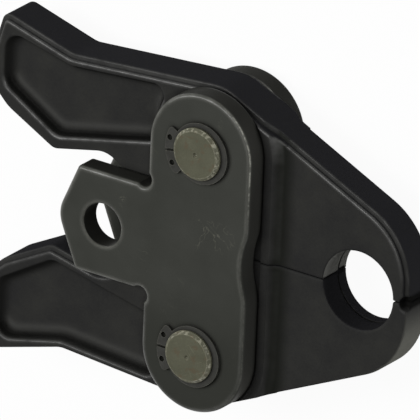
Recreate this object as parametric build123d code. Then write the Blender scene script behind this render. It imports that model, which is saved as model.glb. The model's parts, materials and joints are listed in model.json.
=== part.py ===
from build123d import *
import math
import os

# Press fitting tool jaw: two forged arms that rock on two pins between two side plates.
# Both arms are the same forging, and the lower one is turned over.
# The frame stands in the centre of the tool pin bore, +X to the nose, +Z out of the top plate.
os.makedirs("parts", exist_ok=True)

# Side plates
tool_bore_d = 14.0
plate_thickness = 7.5
plate_gap = 15.0
plate_edge_round = 1.2
tool_bore_bevel = 0.4
plate_end_r = 18.8
plate_inner_bevel = 0.4
waist_depth = 2.2
waist_arc_r = 26.0
waist_soft = 16.0
tongue_half = 17.4
tongue_point = 16.95
tongue_corner_x = -9.6
tongue_tip_soft = 10.0
tongue_corner_soft = 1.6
relief_r = 2.75
relief_out_x = 1.7
relief_out_y = 2.0

# Pivots and pins
bore_to_pivots = 35.0
pivot_spacing = 67.5
pin_d = 17.0
pin_proud = 2.7
pin_end_chamfer = 0.9
pin_plate_clearance = 0.02
pin_arm_clearance = 0.05
dimple_d = 1.6

# Retaining rings
ring_thickness = 1.0
ring_width = 1.45
ring_shift = 0.75
ring_lug_width = 3.7
ring_lug_angle = 41.0
ring_lug_soft = 1.2
ring_eye_out = 2.4
ring_eye_angle = 22.0
ring_eye_d = 1.9
ring_gap = 0.8
ring_side_play = 0.02
ring_bore_play = 0.02
groove_depth = 0.4
groove_width = 1.15
ring_turns = {"top_upper": 188, "top_lower": 178, "bottom_upper": 174, "bottom_lower": 187}

# Arms
arm_side_clearance = 0.1
ledge_width = 1.6
ledge_drop = 1.2
nose_half = 6.2
land_half = 8.3
land_width = 2.0
land_gap = 0.7
ramp_r = 4.5
seat_r = 1.2
edge_soft = 0.5
rim_soft = 0.8
split_gap = 0.15
split_bevel = 0.3
rock_angle = 12.8
nose_start = 4.0
slope_start_x = 17.0
slope_end_x = 22.0

# Arm outline, from the line through the pivots and from the split
tail_top_x = -79.9
tail_top_y = 56.4
tail_bend_x = -54.0
tail_bend_y = 49.0
back_bend_x = 2.0
back_bend_y = 53.3
nose_corner_y = 20.7
roller_end_x = -86.2
roller_end_y = 34.8
roller_bend_x = -77.0
roller_bend_y = 25.6
roller_crest_x = -59.3
roller_crest_y = 16.2
neck_x = -39.9
neck_y = 20.6
lobe_x = -30.0
lobe_y = 14.9
tail_corner_r = 3.0
tail_bend_r = 9.0
back_bend_r = 14.0
nose_corner_r = 24.0
roller_bend_r = 14.0
crest_r = 4.0
neck_r = 9.0
lobe_r = 2.5

# Press contour
pivots_to_press = 54.1
press_d = 25.8
press_groove_from_rear = 3.8
press_groove = 0.5
press_groove_width = 0.7
nose_reach = 71.8
tip_relief_r = 2.3
tip_relief_depth = 2.8
tip_relief_in = 0.4
rear_relief_r = 1.1
rear_relief_floor = 1.0

# Pockets in the arms
pocket_depth = 3.7
pocket_draft = 28.0
pocket_floor_r = 2.4
pocket_rim_r = 0.8
boss_r = 21.4
pocket_back_x = -79.0
pocket_back_top = 51.5
pocket_back_low = 32.6
pocket_bend_x = -54.0
pocket_bend_top = 45.6
pocket_front_x = -8.0
pocket_front_top = 49.4
pocket_front_low = 31.5
pocket_crest_x = -58.4
pocket_crest_low = 20.2
pocket_tip_top_x = -15.0
pocket_tip_top_y = 48.8
pocket_tip_low_x = -20.7
pocket_tip_low_y = 28.4
pocket_back_r = 5.5
pocket_bend_r = 7.0
pocket_tip_top_r = 4.0
pocket_tip_low_r = 4.0
pocket_crest_r = 6.0
pocket_low_r = 5.5

# Leg spring between the arms
wire_d = 2.2
coil_r = 5.2
coil_turns = 4
coil_pitch = 2.35
coil_x = -17.0
hollow_r = 10.0
hollow_wall = 9.0
leg_bend_r = 2.0
leg_elbow_x = -23.0
leg_end_x = -29.0
leg_contact = 0.05

# Derived sizes
half_pitch = pivot_spacing / 2
plate_inner = plate_gap / 2
plate_outer = plate_inner + plate_thickness
arm_half = plate_inner - arm_side_clearance
press_x = bore_to_pivots + pivots_to_press
high = 40.0
far = 110.0
below = 10.0


def at(dx, y):
    """A point measured from the line through both pivots."""
    return (bore_to_pivots + dx, y)


def soften(shape, corner, radius):
    """Round the outline corner nearest to a given point."""
    spot = shape.vertices().sort_by_distance(Vector(corner[0], corner[1], 0))[0]
    return fillet(spot, radius)


def closed(points):
    return make_face(Polyline(*points, close=True))


def slab(outline, low, top):
    return Pos(0, 0, low) * extrude(outline, top - low)


def both_faces(cutter):
    return cutter + mirror(cutter, about=Plane.XY)


def rod(radius, low, top, x, y):
    return Pos(x, y, low) * Cylinder(radius, top - low, align=(Align.CENTER, Align.CENTER, Align.MIN))


# Side plate: two round ends, a waist on the nose side, a tongue with the tool pin bore
def plate_outline():
    body = closed([
        at(-plate_end_r, half_pitch), at(plate_end_r, half_pitch),
        at(plate_end_r, -half_pitch), at(-plate_end_r, -half_pitch),
    ])
    for side in (1, -1):
        body += Pos(*at(0, side * half_pitch)) * Circle(plate_end_r)
    tongue = closed([
        (bore_to_pivots, tongue_half), (tongue_corner_x, tongue_half), (-tongue_point, 0),
        (tongue_corner_x, -tongue_half), (bore_to_pivots, -tongue_half),
    ])
    tongue = soften(tongue, (-tongue_point, 0), tongue_tip_soft)
    tongue = soften(tongue, (tongue_corner_x, tongue_half), tongue_corner_soft)
    tongue = soften(tongue, (tongue_corner_x, -tongue_half), tongue_corner_soft)
    edge_x = bore_to_pivots + plate_end_r
    waist = Pos(edge_x - waist_depth + waist_arc_r, 0) * Circle(waist_arc_r)
    outline = body + tongue - waist
    for side in (1, -1):
        reach = math.sqrt(waist_arc_r ** 2 - (waist_arc_r - waist_depth) ** 2)
        outline = soften(outline, (edge_x, side * reach), waist_soft)
    for side in (1, -1):
        relief = at(-plate_end_r - relief_out_x, side * (tongue_half + relief_out_y))
        outline -= Pos(*relief) * Circle(relief_r)
    return outline


def make_plate(side):
    low = plate_inner if side > 0 else -plate_outer
    plate = slab(plate_outline(), low, low + plate_thickness)
    rims = plate.edges().group_by(Axis.Z)
    plate = fillet(rims[-1] if side > 0 else rims[0], plate_edge_round)
    plate -= rod(tool_bore_d / 2, -high, high, 0, 0)
    rims = plate.edges().group_by(Axis.Z)
    plate = chamfer(rims[0] if side > 0 else rims[-1], plate_inner_bevel)
    rims = plate.edges().filter_by(GeomType.CIRCLE).group_by(Axis.Z)
    plate = chamfer(rims[-1].sort_by_distance(Vector(0, 0, 0))[0] if side > 0 else
                    rims[0].sort_by_distance(Vector(0, 0, 0))[0], tool_bore_bevel)
    for end in (1, -1):
        plate -= rod(pin_d / 2 + pin_plate_clearance, -high, high, *at(0, end * half_pitch))
    return plate


# Pivot pin: plain shaft with a ring groove beyond each plate and bevelled ends
def make_pin(end):
    tip = plate_outer + pin_proud
    pin = Cylinder(pin_d / 2, 2 * tip)
    pin = chamfer(pin.edges().filter_by(GeomType.CIRCLE), pin_end_chamfer)
    groove = Cylinder(pin_d / 2 + 1, groove_width) - Cylinder(pin_d / 2 - groove_depth, groove_width)
    for side in (1, -1):
        pin -= Pos(0, 0, side * (plate_outer + groove_width / 2)) * groove
        pin -= Pos(0, 0, side * tip) * Sphere(dimple_d / 2)
    return Pos(*at(0, end * half_pitch)) * pin


# External retaining ring with two eyes beside its opening
def make_ring(end, side, turn):
    pin_r = pin_d / 2
    ring_lug_r = pin_r + ring_lug_width
    ring_eye_r = pin_r + ring_eye_out
    ring = Pos(ring_shift, 0) * Circle(pin_r + ring_width)
    spread = math.radians(ring_lug_angle)
    reach_x = -2 * ring_lug_r * math.cos(spread)
    reach_y = 2 * ring_lug_r * math.sin(spread)
    ring += Circle(ring_lug_r) & closed([(0, 0), (reach_x, reach_y), (reach_x, -reach_y)])
    for side_of_gap in (1, -1):
        lug = math.radians(180 - side_of_gap * ring_lug_angle)
        tip = (ring_lug_r * math.cos(lug), ring_lug_r * math.sin(lug))
        ring = soften(ring, tip, ring_lug_soft)
    ring -= Circle(pin_r - groove_depth + ring_bore_play)
    ring -= Pos(-ring_lug_r, 0) * Rectangle(ring_lug_r, ring_gap)
    for eye in (1, -1):
        spot = math.radians(180 + eye * ring_eye_angle)
        ring -= Pos(ring_eye_r * math.cos(spot), ring_eye_r * math.sin(spot)) * Circle(ring_eye_d / 2)
    solid = slab(ring, 0, ring_thickness)
    low = plate_outer + ring_side_play
    if side < 0:
        low = -low - ring_thickness
    return Pos(*at(0, end * half_pitch)) * Pos(0, 0, low) * Rot(0, 0, turn - 180) * solid


# Arm outline: roller flank and tail to the left, pivot boss, nose to the right
tail_top = at(tail_top_x, tail_top_y)
tail_bend = at(tail_bend_x, tail_bend_y)
back_bend = at(back_bend_x, back_bend_y)
nose_corner = at(nose_reach, nose_corner_y)
roller_end = at(roller_end_x, roller_end_y)
roller_bend = at(roller_bend_x, roller_bend_y)
roller_crest = at(roller_crest_x, roller_crest_y)
neck = at(neck_x, neck_y)
lobe_top = at(lobe_x, lobe_y)


def arm_edge():
    """Outline of the outer side of an arm, left open over the split side."""
    outline = closed([
        tail_top, tail_bend, back_bend, nose_corner, at(nose_reach, -below), at(coil_x, -below),
        at(coil_x, hollow_r), lobe_top, neck, roller_crest, roller_bend, roller_end,
    ])
    for corner, radius in (
        (tail_top, tail_corner_r), (tail_bend, tail_bend_r), (back_bend, back_bend_r),
        (nose_corner, nose_corner_r), (roller_end, tail_corner_r), (roller_bend, roller_bend_r),
        (roller_crest, crest_r), (neck, neck_r), (lobe_top, lobe_r),
    ):
        outline = soften(outline, corner, radius)
    return outline


def split_side():
    """Everything an arm may fill above the split, the rocking faces and the spring hollow."""
    rocker_r = half_pitch - split_gap
    lean = math.radians(rock_angle)
    roll_end = (-rocker_r * math.sin(lean), half_pitch - rocker_r * math.cos(lean))
    wall_x = coil_x + hollow_wall
    wall_low = roll_end[1] + math.tan(lean) * (roll_end[0] - wall_x)
    keep = closed([
        at(0, split_gap), at(far, split_gap), at(far, far), at(-far, far), at(-far, -far), at(coil_x, -far),
        at(coil_x, hollow_r), at(wall_x, hollow_r), at(wall_x, wall_low), at(*roll_end),
    ])
    rocker = Pos(*at(0, half_pitch)) * Circle(rocker_r)
    keep += rocker & closed([at(0, 0), at(0, half_pitch), at(roll_end[0], half_pitch), at(roll_end[0], 0)])
    keep -= Pos(*at(coil_x, 0)) * Circle(hollow_r)
    return keep


def roller_zone():
    """The roller side of the tail, where the front face has no ledge."""
    return closed([at(-far, roller_end_y - tail_corner_r), at(0, half_pitch), at(0, -far), at(-far, -far)])


def back_zone():
    """The back and the nose, where the rear face has no ledge."""
    return closed([
        at(-far, roller_end_y - tail_corner_r), at(0, half_pitch), at(0, -far),
        at(far, -far), at(far, far), at(-far, far),
    ])


def rounded_slab(outline, half, radius):
    """A slab across the middle plane with both rims rounded."""
    block = slab(outline, -half, half)
    rims = block.edges().group_by(Axis.Z)
    return fillet(rims[0] + rims[-1], radius)


def two_faced(front, rear, half, radius):
    """A slab whose front and rear halves follow different outlines, with rounded rims."""
    front_half = fillet(slab(front, 0, half).edges().group_by(Axis.Z)[-1], radius)
    rear_half = fillet(slab(rear, -half, 0).edges().group_by(Axis.Z)[0], radius)
    return front_half + rear_half


def arm_blank():
    """Forged arm: ledge along one side of each face, raised root land, thinner nose."""
    edge = arm_edge()
    front = offset(edge, -ledge_width) + (edge & roller_zone())
    rear = offset(edge, -ledge_width) + (edge & back_zone())
    ledge_half = arm_half - ledge_drop
    blank = rounded_slab(edge, ledge_half, edge_soft)
    blank += two_faced(front, rear, arm_half, rim_soft)
    reach = plate_end_r + land_gap + land_width
    root = Pos(*at(0, half_pitch)) * Circle(reach)
    root += closed([at(0, half_pitch), at(reach, half_pitch), at(reach, -below), at(0, -below)])
    nose = closed([at(nose_start, far), at(far, far), at(far, -below), at(nose_start, -below)])
    blank += two_faced(front, rear, land_half, rim_soft) & slab(nose, -high, high)
    reach = plate_end_r + land_gap
    seat = Pos(*at(0, half_pitch)) * Circle(reach)
    seat += closed([at(-reach, half_pitch), at(reach, half_pitch), at(reach, -below), at(-reach, -below)])
    seat += closed([at(-reach, far), at(0, far), at(0, -below), at(-reach, -below)])
    seat_cut = slab(seat, arm_half, high)
    seat_cut = fillet(seat_cut.edges().group_by(Axis.Z)[0], seat_r)
    blank -= both_faces(seat_cut)
    nose_cut = slab(nose - root, nose_half, high)
    nose_cut = fillet(nose_cut.edges().group_by(Axis.Z)[0], ramp_r)
    blank -= both_faces(nose_cut)
    nose_ledge = nose_half - ledge_drop
    slope = Plane.XZ * closed([
        at(slope_start_x, ledge_half), at(slope_end_x, nose_ledge), at(far, nose_ledge),
        at(far, high), at(slope_start_x, high),
    ])
    step_cut = extrude(slope, far, both=True)
    blank -= step_cut & slab(nose - front, 0, high)
    blank -= mirror(step_cut, about=Plane.XY) & slab(nose - rear, -high, 0)
    ramp_foot = reach + land_width + ramp_r
    tip_field = closed([at(ramp_foot, far), at(far, far), at(far, -far), at(ramp_foot, -far)])
    tip_zone = slab(tip_field, -high, high)
    tip = two_faced(front, rear, nose_half, rim_soft) + rounded_slab(edge, nose_ledge, edge_soft)
    return (blank - tip_zone) + (tip & tip_zone)


def rims_along(shape, outline, level):
    """Edges of a shape that follow an outline at one height."""
    rims = []
    for edge in shape.edges().filter_by(Plane.XY):
        middle = edge @ 0.5
        on_line = outline.face().outer_wire().distance_to(Vector(middle.X, middle.Y, 0)) < 0.01
        if on_line and abs(middle.Z - level) < 0.01:
            rims.append(edge)
    return rims


def pocket_outline(wider):
    """Pocket rim, wider towards the back on the face whose back has no ledge."""
    outline = closed([
        at(pocket_back_x, pocket_back_top + wider), at(pocket_bend_x, pocket_bend_top + wider),
        at(pocket_front_x, pocket_front_top + wider), at(pocket_front_x, pocket_front_low),
        at(pocket_crest_x, pocket_crest_low), at(pocket_back_x, pocket_back_low),
    ])
    outline -= Pos(*at(0, half_pitch)) * Circle(boss_r)
    for corner, radius in (
        (at(pocket_back_x, pocket_back_top + wider), pocket_back_r),
        (at(pocket_bend_x, pocket_bend_top + wider), pocket_bend_r),
        (at(pocket_tip_top_x, pocket_tip_top_y + wider), pocket_tip_top_r),
        (at(pocket_tip_low_x, pocket_tip_low_y), pocket_tip_low_r),
        (at(pocket_crest_x, pocket_crest_low), pocket_crest_r),
        (at(pocket_back_x, pocket_back_low), pocket_low_r),
    ):
        outline = soften(outline, corner, radius)
    return outline


def pocket(wider):
    """Recess with drafted walls and a rounded floor for the front face of the tail."""
    rim = Pos(0, 0, arm_half) * pocket_outline(wider)
    cutter = extrude(rim, pocket_depth, dir=(0, 0, -1), taper=pocket_draft)
    return fillet(cutter.edges().group_by(Axis.Z)[0], pocket_floor_r)


def press_cut():
    """Press contour: a round opening with one fine groove near its rear rim."""
    low = -nose_half + press_groove_from_rear
    cut = rod(press_d / 2, -high, high, press_x, 0)
    cut += rod(press_d / 2 + press_groove, low, low + press_groove_width, press_x, 0)
    return cut


def split_edges(shape):
    """Edges of the split face that show from the top."""
    shown = []
    for edge in shape.edges():
        on_split = all(abs(abs((edge @ place).Y) - split_gap) < 0.001 for place in (0, 0.5, 1))
        middle = edge @ 0.5
        if on_split and middle.Z > split_bevel and middle.X > bore_to_pivots + plate_end_r / 2:
            shown.append(edge)
    return shown


def reliefs():
    """Round reliefs on the split: one at the nose tip, a small blind one behind the groove."""
    rear_top = -nose_half + press_groove_from_rear
    tip = rod(tip_relief_r, nose_half - tip_relief_depth, high, *at(nose_reach - tip_relief_in, 0))
    rear = rod(rear_relief_r, -nose_half + rear_relief_floor, rear_top, press_x - press_d / 2, 0)
    return tip + rear


def make_forging():
    """The arm above the split, before its nose is machined."""
    arm = arm_blank() & slab(split_side(), -high, high)
    arm -= pocket(0)
    arm -= mirror(pocket(ledge_width), about=Plane.XY)
    rims = rims_along(arm, pocket_outline(0), arm_half)
    rims += rims_along(arm, pocket_outline(ledge_width), -arm_half)
    arm = fillet(rims, pocket_rim_r)
    return arm - rod(pin_d / 2 + pin_arm_clearance, -high, high, *at(0, half_pitch))


def make_arm(forging):
    arm = forging - press_cut()
    arm = chamfer(split_edges(arm), split_bevel)
    return arm - reliefs()


def make_spring():
    """Leg spring: a close coil with two legs that push the tails apart."""
    wire = wire_d / 2
    fall = (lobe_top[1] - hollow_r) / (at(coil_x, 0)[0] - lobe_top[0])
    lean = math.atan(fall)
    elbow_y = hollow_r + fall * (coil_x - leg_elbow_x) - (wire + leg_contact) / math.cos(lean)
    elbow = (leg_elbow_x - coil_x, elbow_y)
    tip = (leg_end_x - coil_x, elbow_y + fall * (leg_elbow_x - leg_end_x))
    leave = math.atan2(elbow[1], elbow[0]) - math.acos(coil_r / math.hypot(*elbow))
    turns = coil_turns + leave / math.pi
    height = coil_pitch * turns
    steps = 45
    winding = []
    for step in range(steps + 1):
        turn = -leave + 2 * math.pi * turns * step / steps
        rise = height * (step / steps - 0.5)
        winding.append(Vector(coil_r * math.cos(turn), coil_r * math.sin(turn), rise))
    low_elbow = Vector(elbow[0], -elbow[1], -height / 2)
    low_tip = Vector(tip[0], -tip[1], -height / 2)
    high_elbow = Vector(elbow[0], elbow[1], height / 2)
    high_tip = Vector(tip[0], tip[1], height / 2)
    ends = [(winding[0] - low_elbow).normalized(), (high_elbow - winding[-1]).normalized()]
    coil = Spline(*winding, tangents=ends, tangent_scalars=[1, 1])
    low_leg = FilletPolyline(low_tip, low_elbow, winding[0], radius=leg_bend_r)
    high_leg = FilletPolyline(winding[-1], high_elbow, high_tip, radius=leg_bend_r)
    path = Wire([*low_leg.edges(), *coil.edges(), *high_leg.edges()])
    start = Plane(origin=low_tip, z_dir=low_elbow - low_tip)
    return Pos(*at(coil_x, 0)) * sweep(start * Circle(wire), path=path)


def save(shape, node):
    solids = shape.solids()
    if len(solids) != 1:
        raise ValueError(node + " is not one solid")
    solid = solids[0]
    solid.label = node
    export_step(solid, "parts/" + node + ".step")


forging = make_forging()
save(make_arm(forging), "upper_jaw_arm")
save(make_arm(Rot(180, 0, 0) * forging), "lower_jaw_arm")
save(make_plate(1), "top_side_plate")
save(make_plate(-1), "bottom_side_plate")
for end, name in ((1, "upper"), (-1, "lower")):
    save(make_pin(end), name + "_pivot_pin")
    for side, face in ((1, "top"), (-1, "bottom")):
        turn = ring_turns[face + "_" + name]
        save(make_ring(end, side, turn), face + "_" + name + "_retaining_ring")
save(make_spring(), "leg_spring")
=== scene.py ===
import json
import math
import bpy
import bmesh
from mathutils import Euler, Matrix, Vector


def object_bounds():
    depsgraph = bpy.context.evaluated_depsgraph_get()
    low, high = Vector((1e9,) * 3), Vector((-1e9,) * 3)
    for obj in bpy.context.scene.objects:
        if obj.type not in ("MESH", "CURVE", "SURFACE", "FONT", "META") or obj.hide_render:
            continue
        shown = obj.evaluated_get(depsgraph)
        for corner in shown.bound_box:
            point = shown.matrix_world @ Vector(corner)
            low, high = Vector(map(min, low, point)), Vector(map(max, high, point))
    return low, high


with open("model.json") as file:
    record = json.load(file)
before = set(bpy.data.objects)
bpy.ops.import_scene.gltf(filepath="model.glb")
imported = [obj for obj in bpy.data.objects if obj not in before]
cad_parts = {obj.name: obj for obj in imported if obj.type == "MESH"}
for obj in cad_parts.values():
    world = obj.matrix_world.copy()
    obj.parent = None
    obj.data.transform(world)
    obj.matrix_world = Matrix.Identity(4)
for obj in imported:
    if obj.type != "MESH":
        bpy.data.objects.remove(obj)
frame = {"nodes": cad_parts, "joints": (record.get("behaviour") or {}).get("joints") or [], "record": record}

cadBox = [list(corner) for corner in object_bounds()]
nodes = frame["nodes"]
mm = 0.001

# places and sizes in mm that the finishes follow
mounts = {mount["name"]: mount for mount in frame["record"]["mounts"]}
contourX = mounts["press_contour"]["pos_m"][0] / mm
contourRadius = mounts["press_contour"]["dims"]["r_mm"]
toolBoreRadius = mounts["tool_pin_bore"]["dims"]["r_mm"]
pivotX, pivotY = [value / mm for value in frame["joints"][0]["pos_m"][:2]]
print("jaw: frame loaded,", len(nodes), "pieces")


# small helpers for node trees

nodeLayout = {"rows": 6, "across": 220, "down": 260}        # where new nodes land in the editor


def addNode(tree, kind, **settings):
    column, row = divmod(len(tree.nodes), nodeLayout["rows"])
    node = tree.nodes.new(kind)
    node.location = (column * nodeLayout["across"], -row * nodeLayout["down"])
    for name, value in settings.items():
        setattr(node, name, value)
    return node


def feed(tree, value, socket):
    # a number or a colour is set on the socket, and the output of another node is linked to it
    if isinstance(value, (int, float, tuple)):
        socket.default_value = value
    else:
        tree.links.new(value, socket)


def mathNode(tree, operation, *values):
    node = addNode(tree, "ShaderNodeMath", operation=operation)
    for socket, value in zip(node.inputs, values):
        feed(tree, value, socket)
    return node.outputs[0]


def times(tree, first, *others):
    for other in others:
        first = mathNode(tree, "MULTIPLY", first, other)
    return first


def largest(tree, first, *others):
    for other in others:
        first = mathNode(tree, "MAXIMUM", first, other)
    return first


def absolute(tree, value):
    return mathNode(tree, "ABSOLUTE", value)


def inverted(tree, mask):
    return mathNode(tree, "SUBTRACT", 1.0, mask)


def mapRange(tree, value, span, ends=(0.0, 1.0), smooth=False):
    # value goes from the first to the second of the ends as it crosses the span
    node = addNode(tree, "ShaderNodeMapRange", interpolation_type="SMOOTHSTEP" if smooth else "LINEAR")
    labels = ("Value", "From Min", "From Max", "To Min", "To Max")
    for label, number in zip(labels, (value, *span, *ends)):
        feed(tree, number, node.inputs[label])
    return node.outputs[0]


def band(tree, value, rise, fall):
    # mask that rises over the first span and falls again over the second
    return times(tree, mapRange(tree, value, rise), mapRange(tree, value, fall, (1.0, 0.0)))


def splitVector(tree, vector):
    node = addNode(tree, "ShaderNodeSeparateXYZ")
    feed(tree, vector, node.inputs[0])
    return node.outputs


def noise(tree, scale, detail, vector=None, **settings):
    if vector is None:
        vector = addNode(tree, "ShaderNodeTexCoord").outputs["Object"]
    node = addNode(tree, "ShaderNodeTexNoise")
    for label, value in {"Vector": vector, "Scale": scale, "Detail": detail, **settings}.items():
        feed(tree, value, node.inputs[label])
    return node.outputs["Fac"]


def linear(colour):
    # a colour as it is read on screen, 0 to 255, made linear
    values = []
    for channel in colour:
        share = channel / 255
        values.append(share / 12.92 if share <= 0.04045 else ((share + 0.055) / 1.055) ** 2.4)
    return (*values, 1.0)


def mixColour(tree, factor, first, second):
    node = addNode(tree, "ShaderNodeMix", data_type="RGBA")
    for socket, value in zip((node.inputs[0], node.inputs[6], node.inputs[7]), (factor, first, second)):
        feed(tree, value, socket)
    return node.outputs[2]


def paint(tree, skin, colour, mask):
    # lays a colour, as it is read on screen, over the skin where the mask says
    return mixColour(tree, mask, skin, linear(colour))


def newGroup(name, values, masks, vectors=()):
    # a shader group with numbers going in, and masks and directions coming out
    group = bpy.data.node_groups.new(name, "ShaderNodeTree")
    for label, value in values.items():
        socket = group.interface.new_socket(name=label, in_out="INPUT", socket_type="NodeSocketFloat")
        socket.default_value = value
    for label in masks:
        group.interface.new_socket(name=label, in_out="OUTPUT", socket_type="NodeSocketFloat")
    for label in vectors:
        group.interface.new_socket(name=label, in_out="OUTPUT", socket_type="NodeSocketVector")
    entry = addNode(group, "NodeGroupInput")
    leave = addNode(group, "NodeGroupOutput")
    return group, entry.outputs, leave.inputs


def useGroup(tree, group, **values):
    node = addNode(tree, "ShaderNodeGroup", node_tree=group)
    for label, value in values.items():
        feed(tree, value, node.inputs[label])
    return node.outputs


# effects that several finishes share

def makeEdgeWearAndGlint():
    # corners that handling rubs bright, with a painted highlight on them, found by how far a softened normal
    # turns away
    group, entry, leave = newGroup(
        "edgeRub", {"Radius": 0.5 * mm, "Low": 0.02, "High": 0.25, "Breakup": 400.0}, ["Mask"])
    bevel = addNode(group, "ShaderNodeBevel", samples=6)
    feed(group, entry["Radius"], bevel.inputs["Radius"])
    geometry = addNode(group, "ShaderNodeNewGeometry")
    dot = addNode(group, "ShaderNodeVectorMath", operation="DOT_PRODUCT")
    feed(group, bevel.outputs["Normal"], dot.inputs[0])
    feed(group, geometry.outputs["Normal"], dot.inputs[1])
    turned = inverted(group, dot.outputs["Value"])
    rubbed = mapRange(group, turned, (entry["Low"], entry["High"]), smooth=True)
    uneven = mapRange(group, noise(group, entry["Breakup"], 3.0), (0.3, 0.62), (0.25, 1.0))
    feed(group, times(group, rubbed, uneven), leave["Mask"])
    return group


def makeRoundedRims():
    # rounded rims between a flat face and its walls, with the softened normal that finds them
    group, entry, leave = newGroup(
        "rimWear", {"Radius": 0.8 * mm, "Steep": 0.55, "Flat": 0.985, "Breakup": 300.0},
        ["Mask"], ["Normal", "Facing"])
    softStart = 0.2        # over which the mask rises from the steep side
    flatEnd = 0.999        # where a surface counts as flat
    bevel = addNode(group, "ShaderNodeBevel", samples=6)
    feed(group, entry["Radius"], bevel.inputs["Radius"])
    feed(group, bevel.outputs["Normal"], leave["Normal"])
    own = addNode(group, "ShaderNodeVectorTransform", vector_type="NORMAL",
                  convert_from="WORLD", convert_to="OBJECT")
    feed(group, bevel.outputs["Normal"], own.inputs[0])
    feed(group, own.outputs[0], leave["Facing"])
    level = absolute(group, splitVector(group, own.outputs[0])["Z"])
    riseEnd = mathNode(group, "ADD", entry["Steep"], softStart)
    rise = mapRange(group, level, (entry["Steep"], riseEnd), smooth=True)
    fall = mapRange(group, level, (entry["Flat"], flatEnd), (1.0, 0.0), smooth=True)
    uneven = mapRange(group, noise(group, entry["Breakup"], 4.0), (0.3, 0.6), (0.45, 1.0))
    feed(group, times(group, rise, fall, uneven), leave["Mask"])
    return group


def makeCornerShade():
    # painted shade in inner corners, darker where they are more closed in
    group, entry, leave = newGroup("cornerGrime", {"Reach": 1.2 * mm, "Amount": 0.8}, ["Mask"])
    near = addNode(group, "ShaderNodeAmbientOcclusion", samples=6)
    feed(group, entry["Reach"], near.inputs["Distance"])
    closed = mapRange(group, near.outputs["AO"], (0.35, 0.95), (1.0, 0.0))
    feed(group, times(group, closed, entry["Amount"]), leave["Mask"])
    return group


def makeScuffs():
    # short crooked marks in a few patches
    group, entry, leave = newGroup("scuffs", {"Size": 120.0, "Width": 0.012, "Patch": 60.0}, ["Mask"])
    fromLine = mathNode(group, "SUBTRACT", noise(group, entry["Size"], 2.0, Distortion=1.5), 0.5)
    line = mapRange(group, absolute(group, fromLine), (0.0, entry["Width"]), (1.0, 0.0), smooth=True)
    here = mapRange(group, noise(group, entry["Patch"], 3.0), (0.56, 0.66), smooth=True)
    feed(group, times(group, line, here), leave["Mask"])
    return group


def makeForgedGrain():
    # fine pitted skin with broad cloudy patches
    group, entry, leave = newGroup("forgedGrain", {"Fine": 2200.0, "Cloud": 120.0}, ["Tone", "Height"])
    fineShare = 0.35
    fine = noise(group, entry["Fine"], 4.0, Roughness=0.6)
    cloud = noise(group, entry["Cloud"], 5.0)
    both = mathNode(group, "ADD", times(group, fine, fineShare), times(group, cloud, 1 - fineShare))
    feed(group, mapRange(group, both, (0.35, 0.65)), leave["Tone"])
    feed(group, fine, leave["Height"])
    return group


def makeScratches():
    # sparse thin scratches that run in one direction
    group, entry, leave = newGroup(
        "scratches", {"Along": 40.0, "Across": 1500.0, "Turn": 0.6, "Amount": 0.7}, ["Mask"])
    fade = 0.08        # over which a scratch goes from nothing to full
    place = addNode(group, "ShaderNodeTexCoord")
    turn = addNode(group, "ShaderNodeVectorRotate", rotation_type="Z_AXIS")
    feed(group, place.outputs["Object"], turn.inputs["Vector"])
    feed(group, entry["Turn"], turn.inputs["Angle"])
    stretch = addNode(group, "ShaderNodeCombineXYZ")
    for label, value in {"X": entry["Along"], "Y": entry["Across"], "Z": 60.0}.items():
        feed(group, value, stretch.inputs[label])
    scaled = addNode(group, "ShaderNodeVectorMath", operation="MULTIPLY")
    feed(group, turn.outputs["Vector"], scaled.inputs[0])
    feed(group, stretch.outputs["Vector"], scaled.inputs[1])
    lines = noise(group, 1.0, 2.0, scaled.outputs["Vector"])
    span = (entry["Amount"], mathNode(group, "ADD", entry["Amount"], fade))
    feed(group, mapRange(group, lines, span, smooth=True), leave["Mask"])
    return group


edgeRub = makeEdgeWearAndGlint()
rimWear = makeRoundedRims()
cornerGrime = makeCornerShade()
scuffs = makeScuffs()
forgedGrain = makeForgedGrain()
scratches = makeScratches()
print("jaw: shared effects made")


# what all finishes start from

def newFinish(name, look, coatRoughness=0.3):
    finish = bpy.data.materials.new(name)
    finish.use_nodes = True
    tree = finish.node_tree
    tree.nodes.clear()
    shader = addNode(tree, "ShaderNodeBsdfPrincipled")
    shader.inputs["Metallic"].default_value = look["metallic"]
    shader.inputs["Specular IOR Level"].default_value = look["specular"]
    shader.inputs["Coat Roughness"].default_value = coatRoughness
    output = addNode(tree, "ShaderNodeOutputMaterial")
    feed(tree, shader.outputs["BSDF"], output.inputs["Surface"])
    return finish, tree, shader


def bareSkin(tree, shader, look):
    # patchy tone and roughness before any wear, and the height of the grain
    grain = useGroup(tree, forgedGrain, **look["grain"])
    feed(tree, mapRange(tree, grain["Tone"], (0.0, 1.0), look["roughness"]), shader.inputs["Roughness"])
    return mixColour(tree, grain["Tone"], linear(look["dark"]), linear(look["pale"])), grain["Height"]


def addBump(tree, shader, height, bump, normal=None):
    strength, depth = bump
    node = addNode(tree, "ShaderNodeBump")
    node.inputs["Strength"].default_value = strength
    node.inputs["Distance"].default_value = depth
    feed(tree, height, node.inputs["Height"])
    if normal is not None:
        feed(tree, normal, node.inputs["Normal"])
    feed(tree, node.outputs["Normal"], shader.inputs["Normal"])


def placeInMm(tree):
    source = addNode(tree, "ShaderNodeTexCoord")
    scaled = addNode(tree, "ShaderNodeVectorMath", operation="SCALE")
    feed(tree, source.outputs["Object"], scaled.inputs[0])
    feed(tree, 1 / mm, scaled.inputs["Scale"])
    return splitVector(tree, scaled.outputs[0])


def facingOf(tree):
    # the direction that the surface faces, in the piece's own frame
    return splitVector(tree, addNode(tree, "ShaderNodeTexCoord").outputs["Normal"])


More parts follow.
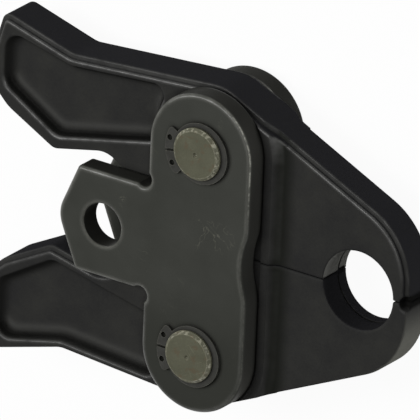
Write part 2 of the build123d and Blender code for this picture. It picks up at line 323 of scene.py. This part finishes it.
def axisDistance(tree, place, x, y=0.0):
    # distance in mm from the upright axis at x and y, or from its mirror image in the lower half
    across = mathNode(tree, "SUBTRACT", place["X"], x)
    up = mathNode(tree, "SUBTRACT", absolute(tree, place["Y"]), y)
    squares = mathNode(tree, "ADD", times(tree, across, across), times(tree, up, up))
    return mathNode(tree, "SQRT", squares)


# the two jaw arms

forgedLook = {
    "dark": (42, 42, 42),            # darkest patches of the blackened skin
    "pale": (51, 51, 49),            # lightest patches
    "rubbed": (92, 92, 90),          # corners worn bright, and rims with a painted highlight
    "outerWall": (43, 43, 45),
    "pocketWall": (20, 20, 19),      # painted shade on the pocket walls that face +Y
    "pocketSide": (40, 40, 39),      # painted shade on the other pocket walls
    "pocketFoot": (68, 68, 66),      # painted highlight on the rounded foot of the walls that face +Y
    "ramp": (31, 32, 29),            # painted shade on the slope from the root land down to the nose
    "noseSide": (108, 108, 102),     # painted highlight on the outer side of the lower half of the nose
    "contour": (122, 122, 118),      # painted highlight on the press contour in the upper arm
    # painted shade in inner corners and in the tip reliefs
    "grime": (18, 18, 17),
    "metallic": 0.0,
    "specular": 0.0,
    "roughness": (0.5, 0.66),
    "edgeShare": 0.4,                # how far sharp corners go to the worn and lit tone
    "rimShare": 0.45,                # the same for the painted highlight on rounded rims
    "rimGloss": 0.7,
    "ledgeRim": 0.5,                 # painted highlight on the rims of the ledge
    "lowerRim": 0.6,                 # painted highlight on the rims of the lower arm
    "shadedRim": 0.12,               # painted highlight on rims that don't face +Y
    "dullRim": 0.8,                  # how much duller the rims of the split and the contour are
    # how dark the painted shade in the tip reliefs is
    "tipDirt": 0.85,
    "grain": {"Fine": 1500.0, "Cloud": 90.0},
    "edges": {"Radius": 0.6 * mm, "Low": 0.03, "High": 0.35, "Breakup": 500.0},
    "rims": {"Radius": 1.6 * mm, "Steep": 0.5, "Flat": 0.97, "Breakup": 250.0},
    "corners": {"Reach": 2.2 * mm, "Amount": 0.5},
    "footReach": 5 * mm,             # how wide the foot of the pocket walls looks
    "bump": (0.35, 0.3 * mm),        # strength and depth
    "noseDrop": 1.2,                 # mm that the rims of the nose lie lower
}

# where the marks of the arms begin and end, in mm along X, away from the split or up from the middle
armSpans = {
    "pocketEnd": (31, 32),           # along X
    "dropStart": (50, 56),
    "rampRise": (56.6, 57.6),
    "rampFall": (59.5, 66),
    "noseRise": (86, 99),
    "tipRise": (101, 102),
    "dullStart": (40, 45),
    "upperArm": (-1, 1),             # along Y
    "upperContour": (0.3, 0.8),
    "noseLow": (2, -15),
    "tipRelief": (1.6, 2.8),
    "splitBevel": (1.5, 2.5),
    "pocketFloor": (5.1, 5.3),       # up from the middle
    "pocketRim": (6.8, 7.0),
    "tipTop": (5.6, 6.1),
    "rimStart": (4.6, 5.1),
    "ledgeTop": (6.3, 6.7),
}


def aroundContour(tree, place, margins, ends=(0.0, 1.0)):
    # mask by the distance from the press contour's wall, in mm
    span = [contourRadius + margin for margin in margins]
    return mapRange(tree, axisDistance(tree, place, contourX), span, ends)


def rimHighlightLevel(tree, place, facing):
    # painted highlight on the rims, strongest on the main faces of the upper arm, where they face +Y
    drop = mapRange(tree, place["X"], armSpans["dropStart"], (0.0, forgedLook["noseDrop"]))
    height = mathNode(tree, "ADD", absolute(tree, place["Z"]), drop)
    onFace = mapRange(tree, height, armSpans["rimStart"])
    ledge = mapRange(tree, height, armSpans["ledgeTop"], (forgedLook["ledgeRim"], 1.0))
    arm = mapRange(tree, place["Y"], armSpans["upperArm"], (forgedLook["lowerRim"], 1.0))
    lit = mapRange(tree, facing["Y"], (0.0, 0.25), (forgedLook["shadedRim"], 1.0))
    # the bevels of the split and of the press contour stay dull
    fromSplit = mapRange(tree, absolute(tree, place["Y"]), armSpans["splitBevel"])
    fromBevels = times(tree, fromSplit, aroundContour(tree, place, (1.6, 2.6)))
    nosePart = mapRange(tree, place["X"], armSpans["dullStart"], (0.0, forgedLook["dullRim"]))
    dull = times(tree, inverted(tree, fromBevels), nosePart)
    return times(tree, onFace, ledge, arm, lit, inverted(tree, dull))


def noseSideHighlight(tree, place, facing):
    # painted highlight: the outer side of the nose is paler below the split
    wall = mapRange(tree, absolute(tree, facing["Z"]), (0.3, 0.95), (1.0, 0.0))
    outside = aroundContour(tree, place, (1.1, 2.1))
    reach = mapRange(tree, place["X"], armSpans["noseRise"], smooth=True)
    low = mapRange(tree, place["Y"], armSpans["noseLow"], smooth=True)
    return times(tree, wall, outside, reach, low)


def contourHighlight(tree, place, facing):
    # painted highlight: the press contour of the upper arm is paler
    wall = mapRange(tree, absolute(tree, facing["Z"]), (0.3, 0.9), (1.0, 0.0))
    inside = aroundContour(tree, place, (0.7, 1.3), (1.0, 0.0))
    return times(tree, wall, inside, mapRange(tree, place["Y"], armSpans["upperContour"]))


def rampShade(tree, place, facing):
    # painted shade: the ramp is darker and fades out on the nose
    flat = mapRange(tree, absolute(tree, facing["Z"]), (0.6, 0.85))
    rise = mapRange(tree, place["X"], armSpans["rampRise"], smooth=True)
    fall = mapRange(tree, place["X"], armSpans["rampFall"], (1.0, 0.0), smooth=True)
    return times(tree, flat, rise, fall)


def tipShadePart(tree, place):
    # painted shade in the small round reliefs where the split meets the tip
    reach = mapRange(tree, place["X"], armSpans["tipRise"])
    fromSplit = absolute(tree, place["Y"])
    nearSplit = mapRange(tree, fromSplit, armSpans["tipRelief"], (forgedLook["tipDirt"], 0.0))
    below = mapRange(tree, absolute(tree, place["Z"]), armSpans["tipTop"], (1.0, 0.0))
    return times(tree, reach, nearSplit, below)


def pocketPart(tree, place, tilt):
    # the feet and the walls of the pockets, which all have the same draft
    height = absolute(tree, place["Z"])
    foot = times(tree, mapRange(tree, height, armSpans["pocketFloor"], (1.0, 0.0)),
                 mapRange(tree, tilt, (0.3, 0.4)))
    drafted = times(tree, band(tree, tilt, (0.42, 0.44), (0.5, 0.52)),
                    mapRange(tree, height, armSpans["pocketRim"], (1.0, 0.0)))
    tail = mapRange(tree, place["X"], armSpans["pocketEnd"], (1.0, 0.0))
    return times(tree, tail, largest(tree, foot, drafted))


def paintArmWalls(tree, skin, place, facing):
    # outer walls, then painted shade on the pocket walls and a painted highlight on the rounded feet under
    # those
    tilt = absolute(tree, facing["Z"])
    skin = paint(tree, skin, forgedLook["outerWall"], mapRange(tree, tilt, (0.1, 0.4), (1.0, 0.0)))
    inPocket = pocketPart(tree, place, tilt)
    wide = useGroup(tree, rimWear, Radius=forgedLook["footReach"])
    softened = splitVector(tree, wide["Facing"])
    level = absolute(tree, softened["Z"])
    onFoot = times(tree, mapRange(tree, level, (0.999, 0.985)), mapRange(tree, softened["Y"], (0.01, 0.08)),
                   inPocket)
    skin = paint(tree, skin, forgedLook["pocketFoot"], onFoot)
    facingUp = mapRange(tree, softened["Y"], (0.04, 0.3))
    wall = paint(tree, linear(forgedLook["pocketSide"]), forgedLook["pocketWall"], facingUp)
    onWall = times(tree, mapRange(tree, level, (0.96, 0.8), smooth=True), inPocket)
    return mixColour(tree, onWall, skin, wall)


def makeForgedFinish():
    look = forgedLook
    finish, tree, shader = newFinish("forgedBlackSteel", look)
    place, facing = placeInMm(tree), facingOf(tree)
    skin, height = bareSkin(tree, shader, look)
    skin = paintArmWalls(tree, skin, place, facing)
    skin = paint(tree, skin, look["ramp"], rampShade(tree, place, facing))
    edges = useGroup(tree, edgeRub, **look["edges"])
    rims = useGroup(tree, rimWear, **look["rims"])
    # painted highlight on the rounded rims, by where they lie and which way they face; it also sets their
    # coat
    litRims = times(tree, rims["Mask"], rimHighlightLevel(tree, place, splitVector(tree, rims["Facing"])))
    share = largest(tree, times(tree, edges["Mask"], look["edgeShare"]), times(tree, litRims, look["rimShare"]))
    skin = paint(tree, skin, look["rubbed"], share)
    skin = paint(tree, skin, look["noseSide"], noseSideHighlight(tree, place, facing))
    skin = paint(tree, skin, look["contour"], contourHighlight(tree, place, facing))
    # painted shade in inner corners and in the tip reliefs
    corners = useGroup(tree, cornerGrime, **look["corners"])
    skin = paint(tree, skin, look["grime"], largest(tree, corners["Mask"], tipShadePart(tree, place)))
    feed(tree, skin, shader.inputs["Base Color"])
    feed(tree, times(tree, litRims, look["rimGloss"]), shader.inputs["Coat Weight"])
    addBump(tree, shader, height, look["bump"], rims["Normal"])
    return finish


# the two side plates

plateLook = {
    "dark": (56, 57, 53),
    "pale": (63, 64, 60),
    "rubbed": (112, 111, 100),       # corners and scuffs worn bright, with a painted highlight on rims and corners
    "scratch": (84, 84, 76),
    "wall": (61, 61, 58),
    "shadedWall": (44, 44, 41),      # walls that face +Y, and the tool pin bore
    "lowEnd": (49, 50, 46),          # painted shade towards the lower pin
    "wornLine": (190, 190, 180),     # painted highlight where the rim meets the wall on the nose side
    # painted shade in inner corners
    "grime": (22, 22, 19),
    "metallic": 0.0,
    "specular": 0.02,
    "roughness": (0.42, 0.55),
    "scratchShare": 0.5,
    "scuffShare": 0.42,
    "edgeShare": 0.7,
    "rimShare": 0.2,
    "rimGloss": 1.0,
    "noseSideRim": 0.15,             # painted highlight on the rims of the nose side
    "lineShare": 0.55,
    "trueNormal": 0.9,               # how far the rims of the nose side keep their own normal
    "lowEndShare": 0.8,
    "lowEndSpan": (-10, -32),        # mm along Y
    "lineSpan": (14, 32),
    "grain": {"Fine": 2600.0, "Cloud": 70.0},
    "flecks": {"Fine": 900.0, "Cloud": 700.0},
    "scratches": {"Along": 60.0, "Across": 2200.0, "Turn": 0.7, "Amount": 0.72},
    "scuffs": {"Size": 150.0, "Width": 0.011, "Patch": 55.0},
    "edges": {"Radius": 0.6 * mm, "Low": 0.02, "High": 0.2, "Breakup": 900.0},
    "rims": {"Radius": 2 * mm, "Steep": 0.3, "Flat": 0.97, "Breakup": 200.0},
    "corners": {"Reach": 1.6 * mm, "Amount": 0.85},
    "bump": (0.15, 0.2 * mm),
}


def paintPlateWalls(tree, skin, place, facing):
    # walls and bores, darker where they face +Y and in the tool pin bore
    boreSpan = (toolBoreRadius + 0.6, toolBoreRadius + 1.4)
    inBore = mapRange(tree, axisDistance(tree, place, 0.0), boreSpan, (1.0, 0.0))
    shaded = largest(tree, mapRange(tree, facing["Y"], (0.3, 0.8)), inBore)
    wall = paint(tree, linear(plateLook["wall"]), plateLook["shadedWall"], shaded)
    steep = mapRange(tree, absolute(tree, facing["Z"]), (0.1, 0.5), (1.0, 0.0))
    return mixColour(tree, steep, skin, wall)


def litLinePart(tree, place, facing, softened):
    # a painted highlight, a thin broken line along the upper rim of the nose side
    flecks = useGroup(tree, forgedGrain, **plateLook["flecks"])
    broken = mapRange(tree, flecks["Tone"], (0.35, 0.7), (0.25, 1.0))
    upper = mapRange(tree, place["Y"], plateLook["lineSpan"], (0.15, 1.0))
    noseSide = mapRange(tree, softened["X"], (0.3, 0.5))
    line = band(tree, absolute(tree, facing["Z"]), (0.5, 0.65), (0.8, 0.92))
    return times(tree, line, upper, noseSide, broken, plateLook["lineShare"])


def makePlateFinish():
    look = plateLook
    finish, tree, shader = newFinish("satinPlateSteel", look)
    place, facing = placeInMm(tree), facingOf(tree)
    skin, height = bareSkin(tree, shader, look)
    fine = useGroup(tree, scratches, **look["scratches"])
    skin = paint(tree, skin, look["scratch"], times(tree, fine["Mask"], look["scratchShare"]))
    marks = useGroup(tree, scuffs, **look["scuffs"])
    skin = paint(tree, skin, look["rubbed"], times(tree, marks["Mask"], look["scuffShare"]))
    edges = useGroup(tree, edgeRub, **look["edges"])
    rims = useGroup(tree, rimWear, **look["rims"])
    softened = splitVector(tree, rims["Facing"])
    # painted highlight on the rounded rims, weaker on the nose side; it also sets their coat
    litRims = times(tree, rims["Mask"], mapRange(tree, softened["X"], (0.15, 0.6), (1.0, look["noseSideRim"])))
    share = largest(tree, times(tree, edges["Mask"], look["edgeShare"]), times(tree, litRims, look["rimShare"]))
    skin = paint(tree, skin, look["rubbed"], share)
    low = mapRange(tree, place["Y"], look["lowEndSpan"], (0.0, look["lowEndShare"]), smooth=True)
    skin = paint(tree, skin, look["lowEnd"], low)
    skin = paintPlateWalls(tree, skin, place, facing)
    skin = paint(tree, skin, look["wornLine"], litLinePart(tree, place, facing, softened))
    corners = useGroup(tree, cornerGrime, **look["corners"])
    skin = paint(tree, skin, look["grime"], corners["Mask"])
    feed(tree, skin, shader.inputs["Base Color"])
    feed(tree, times(tree, litRims, look["rimGloss"]), shader.inputs["Coat Weight"])
    # the rims shade with the softened normal, but on the nose side mostly with their own
    own = addNode(tree, "ShaderNodeNewGeometry")
    normal = addNode(tree, "ShaderNodeMix", data_type="VECTOR")
    feed(tree, mapRange(tree, softened["X"], (0.1, 0.4), (0.0, look["trueNormal"])), normal.inputs[0])
    feed(tree, rims["Normal"], normal.inputs[4])
    feed(tree, own.outputs["Normal"], normal.inputs[5])
    addBump(tree, shader, height, look["bump"], normal.outputs[1])
    return finish


# the two pivot pins

pinLook = {
    "dark": (76, 76, 62),
    "pale": (89, 89, 74),
    "rubbed": (150, 148, 128),       # bevels and corners, worn bright and with a painted highlight
    "scratch": (116, 115, 98),
    "stain": (84, 72, 56),
    "metallic": 0.0,
    "specular": 0.1,
    "roughness": (0.3, 0.45),
    "coatRoughness": 0.22,
    "scratchShare": 0.5,
    "stainShare": 0.5,
    "bevelShare": (0.12, 0.8),       # wear and painted highlight of the bevel, between its flecks and on them
    "bevelGloss": (0.15, 1.0),
    "lineShare": 0.8,                # painted highlight line where the bevel meets the wall
    "faceLineShare": 0.6,            # painted highlight line where it meets the end face, against the other one
    "edgeShare": 0.6,
    "centreShare": 0.2,              # wear and painted highlight at the centre mark against the rest
    "centreSpan": (2.5, 3.5),        # mm from the pin's axis
    "grain": {"Fine": 1800.0, "Cloud": 160.0},
    "flecks": {"Fine": 900.0, "Cloud": 900.0},
    "stains": {"Fine": 900.0, "Cloud": 330.0},
    "firstScratches": {"Along": 160.0, "Across": 2400.0, "Turn": 0.9, "Amount": 0.66},
    "secondScratches": {"Along": 200.0, "Across": 2600.0, "Turn": -0.5, "Amount": 0.67},
    "edges": {"Radius": 0.5 * mm, "Low": 0.03, "High": 0.3, "Breakup": 500.0},
    "rims": {"Radius": 0.4 * mm, "Steep": 0.4, "Flat": 0.985, "Breakup": 600.0},
    "bump": (0.15, 0.2 * mm),
}


def makePinFinish():
    look = pinLook
    finish, tree, shader = newFinish("turnedPinSteel", look, look["coatRoughness"])
    place = placeInMm(tree)
    skin, height = bareSkin(tree, shader, look)
    first = useGroup(tree, scratches, **look["firstScratches"])
    second = useGroup(tree, scratches, **look["secondScratches"])
    marks = largest(tree, first["Mask"], second["Mask"])
    skin = paint(tree, skin, look["scratch"], times(tree, marks, look["scratchShare"]))
    stains = useGroup(tree, forgedGrain, **look["stains"])
    patch = mapRange(tree, stains["Tone"], (0.62, 0.85), (0.0, look["stainShare"]), smooth=True)
    skin = paint(tree, skin, look["stain"], patch)
    # the bevel at the pin's end, worn in flecks and given a painted highlight there, with a thin painted
    # highlight line on each side
    fromAxis = axisDistance(tree, place, pivotX, pivotY)
    outside = mapRange(tree, fromAxis, look["centreSpan"], (look["centreShare"], 1.0))
    flecks = useGroup(tree, forgedGrain, **look["flecks"])
    fleck = mapRange(tree, flecks["Tone"], (0.52, 0.72))
    rims = useGroup(tree, rimWear, **look["rims"])
    bevel = times(tree, rims["Mask"], outside)
    tilt = absolute(tree, splitVector(tree, rims["Facing"])["Z"])
    wallLine = band(tree, tilt, (0.2, 0.32), (0.4, 0.55))
    faceLine = times(tree, band(tree, tilt, (0.78, 0.86), (0.95, 0.99)), outside, look["faceLineShare"])
    line = largest(tree, wallLine, faceLine)
    edges = useGroup(tree, edgeRub, **look["edges"])
    share = largest(tree, times(tree, bevel, mapRange(tree, fleck, (0.0, 1.0), look["bevelShare"])),
                    times(tree, line, look["lineShare"]),
                    times(tree, edges["Mask"], outside, look["edgeShare"]))
    skin = paint(tree, skin, look["rubbed"], share)
    feed(tree, skin, shader.inputs["Base Color"])
    gloss = mapRange(tree, fleck, (0.0, 1.0), look["bevelGloss"])
    feed(tree, times(tree, bevel, gloss), shader.inputs["Coat Weight"])
    addBump(tree, shader, height, look["bump"])
    return finish


# the four retaining rings

ringLook = {
    "dark": (52, 52, 49),
    "pale": (62, 62, 59),
    # edges worn bright, with a painted highlight on them
    "rubbed": (120, 119, 110),
    # painted shade in inner corners
    "grime": (22, 22, 20),
    "metallic": 0.0,
    "specular": 0.05,
    "roughness": (0.35, 0.5),
    "edgeShare": 0.75,
    "grain": {"Fine": 2400.0, "Cloud": 300.0},
    "edges": {"Radius": 0.35 * mm, "Low": 0.03, "High": 0.25, "Breakup": 700.0},
    "corners": {"Reach": 1.2 * mm, "Amount": 0.8},
}


def makeRingFinish():
    look = ringLook
    finish, tree, shader = newFinish("springRingSteel", look)
    skin = bareSkin(tree, shader, look)[0]
    corners = useGroup(tree, cornerGrime, **look["corners"])
    skin = paint(tree, skin, look["grime"], corners["Mask"])
    edges = useGroup(tree, edgeRub, **look["edges"])
    skin = paint(tree, skin, look["rubbed"], times(tree, edges["Mask"], look["edgeShare"]))
    feed(tree, skin, shader.inputs["Base Color"])
    return finish


# the spring between the arms

wireLook = {
    "dark": (70, 70, 68),
    "pale": (104, 103, 98),
    "metallic": 0.5,
    "specular": 0.5,
    "roughness": (0.28, 0.42),
    "grain": {"Fine": 3000.0, "Cloud": 500.0},
}


def makeWireFinish():
    finish, tree, shader = newFinish("drawnSpringWire", wireLook)
    skin = bareSkin(tree, shader, wireLook)[0]
    feed(tree, skin, shader.inputs["Base Color"])
    return finish


finishes = {        # by how a piece's name ends
    "jaw_arm": makeForgedFinish(),
    "side_plate": makePlateFinish(),
    "pivot_pin": makePinFinish(),
    "retaining_ring": makeRingFinish(),
    "leg_spring": makeWireFinish(),
}
for name, piece in nodes.items():
    for ending, finish in finishes.items():
        if name.endswith(ending):
            piece.data.materials.clear()
            piece.data.materials.append(finish)
print("jaw: finishes placed")


# floor, sky, lamps and camera

studio = {
    "floorHalf": 20.0,               # m, so that its end doesn't show from the side
    "floorColour": (236, 236, 236),
    "floorWhite": 0.95,              # how far the floor goes to plain white for the camera
    "skyForObject": 0.128,           # strength of the sky that lights the jaw
}

view = {
    "target": (39.59, 15.97, 15.0),       # mm, what lies in the middle of the picture
    "turn": (-21.78, 34.554, 2.706),      # degrees about X, Y and Z
    "distance": 6.128,                    # m
    "lens": 1720.1,                       # mm, as the sensor
    "sensor": 36.0,
}
viewTurn = Euler([math.radians(angle) for angle in view["turn"]]).to_matrix()

# directions from the jaw to the lamps, the front lamp's as right, up and towards the camera
lamps = {
    "keyLamp": {"direction": Vector((-0.42, 0.3, 0.86)), "distance": 1.2, "size": (1.2, 0.5), "power": 13.2},
    "frontLamp": {"direction": viewTurn @ Vector((0.05, -0.15, 1.0)), "distance": 1.5, "size": (0.12, 0.12),
                  "power": 3.4},
    "sideLamp": {"direction": Vector((0.75, -0.65, 0.05)), "distance": 1.2, "size": (0.3, 0.3), "power": 3.0},
}
lampTarget = Vector((27, 0, 0)) * mm


def seenDirectly(tree):
    # 1 for what the camera sees, also in or through shiny and clear things
    path = addNode(tree, "ShaderNodeLightPath")
    return largest(tree, path.outputs["Is Camera Ray"], path.outputs["Is Glossy Ray"],
                   path.outputs["Is Transmission Ray"])


def makeFloor():
    mesh = bpy.data.meshes.new("studioFloor")
    shape = bmesh.new()
    bmesh.ops.create_grid(shape, x_segments=1, y_segments=1, size=studio["floorHalf"])
    bmesh.ops.translate(shape, verts=shape.verts, vec=(0, 0, cadBox[0][2]))
    shape.to_mesh(mesh)
    shape.free()
    floor = bpy.data.objects.new("studioFloor", mesh)
    bpy.context.scene.collection.objects.link(floor)
    paper = bpy.data.materials.new("palePaper")
    paper.use_nodes = True
    tree = paper.node_tree
    tree.nodes.clear()
    diffuse = addNode(tree, "ShaderNodeBsdfDiffuse")
    diffuse.inputs["Color"].default_value = linear(studio["floorColour"])
    white = addNode(tree, "ShaderNodeEmission")
    white.inputs["Strength"].default_value = 1.0
    mix = addNode(tree, "ShaderNodeMixShader")
    feed(tree, times(tree, seenDirectly(tree), studio["floorWhite"]), mix.inputs[0])
    feed(tree, diffuse.outputs[0], mix.inputs[1])
    feed(tree, white.outputs[0], mix.inputs[2])
    output = addNode(tree, "ShaderNodeOutputMaterial")
    feed(tree, mix.outputs[0], output.inputs["Surface"])
    mesh.materials.append(paper)


def makeSky():
    world = bpy.data.worlds.new("studioSky")
    bpy.context.scene.world = world
    world.use_nodes = True
    tree = world.node_tree
    tree.nodes.clear()
    sky = addNode(tree, "ShaderNodeBackground")
    sky.inputs["Color"].default_value = (1, 1, 1, 1)
    strength = mapRange(tree, seenDirectly(tree), (0.0, 1.0), (studio["skyForObject"], 1.0))
    feed(tree, strength, sky.inputs["Strength"])
    output = addNode(tree, "ShaderNodeOutputWorld")
    feed(tree, sky.outputs[0], output.inputs["Surface"])


def addLamp(name, lamp):
    # an area lamp that points at the jaw, its first side as near along X as it goes
    data = bpy.data.lights.new(name, "AREA")
    data.shape = "RECTANGLE"
    data.size, data.size_y = lamp["size"]
    data.energy = lamp["power"]
    box = bpy.data.objects.new(name, data)
    bpy.context.scene.collection.objects.link(box)
    aim = lamp["direction"].normalized()
    across = (Vector((1, 0, 0)) - aim * aim.x).normalized()
    turn = Matrix((across, aim.cross(across), aim)).transposed().to_4x4()
    box.matrix_world = Matrix.Translation(lampTarget + aim * lamp["distance"]) @ turn


def makeCamera():
    data = bpy.data.cameras.new("viewCamera")
    data.lens = view["lens"]
    data.sensor_width = view["sensor"]
    data.clip_start = 0.1
    data.clip_end = 50.0
    camera = bpy.data.objects.new("viewCamera", data)
    bpy.context.scene.collection.objects.link(camera)
    place = Vector(view["target"]) * mm + viewTurn.col[2] * view["distance"]
    camera.matrix_world = Matrix.Translation(place) @ viewTurn.to_4x4()
    bpy.context.scene.camera = camera


makeFloor()
makeSky()
for name, lamp in lamps.items():
    addLamp(name, lamp)
makeCamera()
bpy.context.scene.view_settings.view_transform = "Standard"
print("jaw: studio set up")
